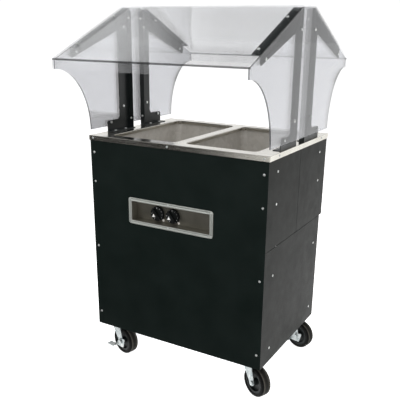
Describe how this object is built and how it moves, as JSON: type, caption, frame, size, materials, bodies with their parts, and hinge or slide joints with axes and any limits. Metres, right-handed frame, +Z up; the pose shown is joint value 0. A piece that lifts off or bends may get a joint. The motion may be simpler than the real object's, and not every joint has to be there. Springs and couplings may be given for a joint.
{
  "type": "steam_table",
  "caption": "Portable electric steam table on swivel casters, with sunken food wells, an enclosed cabinet, a control recess and a clear gabled sneeze-guard canopy",
  "frame": {"origin": "on the floor, below the middle of the whole object's box; the middle of the cabinet is 15 mm towards -X, because the casters trail towards +X", "axes": "+Z up, +X to the right end as seen from the control side, +Y towards the open storage side, so the control side faces -Y"},
  "size_m": [0.8472, 0.99, 1.516],
  "materials": {
    "stainless": "brushed",
    "black_powder": "satin powder coat",
    "galvanised": "galvanised",
    "acrylic": "clear acrylic",
    "black_plastic": "satin",
    "lamp_lens": "gloss",
    "rubber": "matt",
    "wheel_plastic": "matt",
    "zinc": "bright zinc plate",
    "insulation": "glass wool",
    "element": "oxidised sheath"
  },
  "bodies": {
    "cabinet": {"base_frame": "black_powder", "cabinet_screws": "zinc", "canopy_bolts": "zinc", "canopy_leg_left_front": "black_powder", "canopy_leg_left_rear": "black_powder", "canopy_leg_right_front": "black_powder", "canopy_leg_right_rear": "black_powder", "caster_plate_bolts": "zinc", "caster_top_plates": "zinc", "conduits": "galvanised", "control_box": "galvanised", "control_tray": "stainless", "corner_posts": "black_powder", "deck_top": "stainless", "end_pane_left": "acrylic", "end_pane_right": "acrylic", "foot_bolts": "zinc", "front_panel": "black_powder", "heat_switch_left": "black_plastic", "heat_switch_right": "black_plastic", "heating_elements": "element", "pilot_lamps": "lamp_lens", "power_inlet": "black_plastic", "rear_apron": "black_powder", "roof_pane_front": "acrylic", "roof_pane_rear": "acrylic", "side_panel_left_lower": "black_powder", "side_panel_left_upper_front": "black_powder", "side_panel_left_upper_rear": "black_powder", "side_panel_right_lower": "black_powder", "side_panel_right_upper_front": "black_powder", "side_panel_right_upper_rear": "black_powder", "undershelf": "galvanised", "well_housing_left": "galvanised", "well_housing_right": "galvanised", "well_insulation": "insulation", "well_liner_left": "galvanised", "well_liner_right": "galvanised"},
    "swivel_front_left": {"caster_fork_front_left": "zinc", "caster_axle_front_left": "zinc"},
    "wheel_front_left": {"wheel_core_front_left": "wheel_plastic", "tyre_front_left": "rubber"},
    "brake_front_left": {"brake_pedal_front_left": "zinc"},
    "swivel_front_right": {"caster_fork_front_right": "zinc", "caster_axle_front_right": "zinc"},
    "wheel_front_right": {"wheel_core_front_right": "wheel_plastic", "tyre_front_right": "rubber"},
    "swivel_rear_left": {"caster_fork_rear_left": "zinc", "caster_axle_rear_left": "zinc"},
    "wheel_rear_left": {"wheel_core_rear_left": "wheel_plastic", "tyre_rear_left": "rubber"},
    "swivel_rear_right": {"caster_fork_rear_right": "zinc", "caster_axle_rear_right": "zinc"},
    "wheel_rear_right": {"wheel_core_rear_right": "wheel_plastic", "tyre_rear_right": "rubber"},
    "brake_rear_right": {"brake_pedal_rear_right": "zinc"},
    "knob_left_body": {"knob_left": "black_plastic", "switch_shaft_left": "zinc"},
    "knob_right_body": {"knob_right": "black_plastic", "switch_shaft_right": "zinc"}
  },
  "joints": [
    {"name": "swivel_turn_front_left", "type": "hinge", "parent": "cabinet", "child": "swivel_front_left", "pos_m": [-0.353, -0.233, 0.15], "axis": [0, 0, 1], "continuous": true},
    {"name": "wheel_roll_front_left", "type": "hinge", "parent": "swivel_front_left", "child": "wheel_front_left", "pos_m": [-0.31904, -0.24147, 0.0635], "axis": [-0.2419, -0.9703, 0], "continuous": true},
    {"name": "brake_press_front_left", "type": "hinge", "parent": "swivel_front_left", "child": "brake_front_left", "pos_m": [-0.31904, -0.24147, 0.0635], "axis": [-0.2419, -0.9703, 0], "range_deg": [0, 25]},
    {"name": "swivel_turn_front_right", "type": "hinge", "parent": "cabinet", "child": "swivel_front_right", "pos_m": [0.323, -0.233, 0.15], "axis": [0, 0, 1], "continuous": true},
    {"name": "wheel_roll_front_right", "type": "hinge", "parent": "swivel_front_right", "child": "wheel_front_right", "pos_m": [0.35472, -0.24779, 0.0635], "axis": [-0.4226, -0.9063, 0], "continuous": true},
    {"name": "swivel_turn_rear_left", "type": "hinge", "parent": "cabinet", "child": "swivel_rear_left", "pos_m": [-0.353, 0.233, 0.15], "axis": [0, 0, 1], "continuous": true},
    {"name": "wheel_roll_rear_left", "type": "hinge", "parent": "swivel_rear_left", "child": "wheel_rear_left", "pos_m": [-0.3221, 0.21657, 0.0635], "axis": [-0.4695, -0.8829, 0], "continuous": true},
    {"name": "swivel_turn_rear_right", "type": "hinge", "parent": "cabinet", "child": "swivel_rear_right", "pos_m": [0.323, 0.233, 0.15], "axis": [0, 0, 1], "continuous": true},
    {"name": "wheel_roll_rear_right", "type": "hinge", "parent": "swivel_rear_right", "child": "wheel_rear_right", "pos_m": [0.35696, 0.22453, 0.0635], "axis": [-0.2419, -0.9703, 0], "continuous": true},
    {"name": "brake_press_rear_right", "type": "hinge", "parent": "swivel_rear_right", "child": "brake_rear_right", "pos_m": [0.35696, 0.22453, 0.0635], "axis": [-0.2419, -0.9703, 0], "range_deg": [0, 25]},
    {"name": "knob_turn_left", "type": "hinge", "parent": "cabinet", "child": "knob_left_body", "pos_m": [-0.111, -0.28, 0.712], "axis": [0, 1, 0], "range_deg": [0, 300]},
    {"name": "knob_turn_right", "type": "hinge", "parent": "cabinet", "child": "knob_right_body", "pos_m": [-0.037, -0.28, 0.712], "axis": [0, 1, 0], "range_deg": [0, 300]}
  ]
}
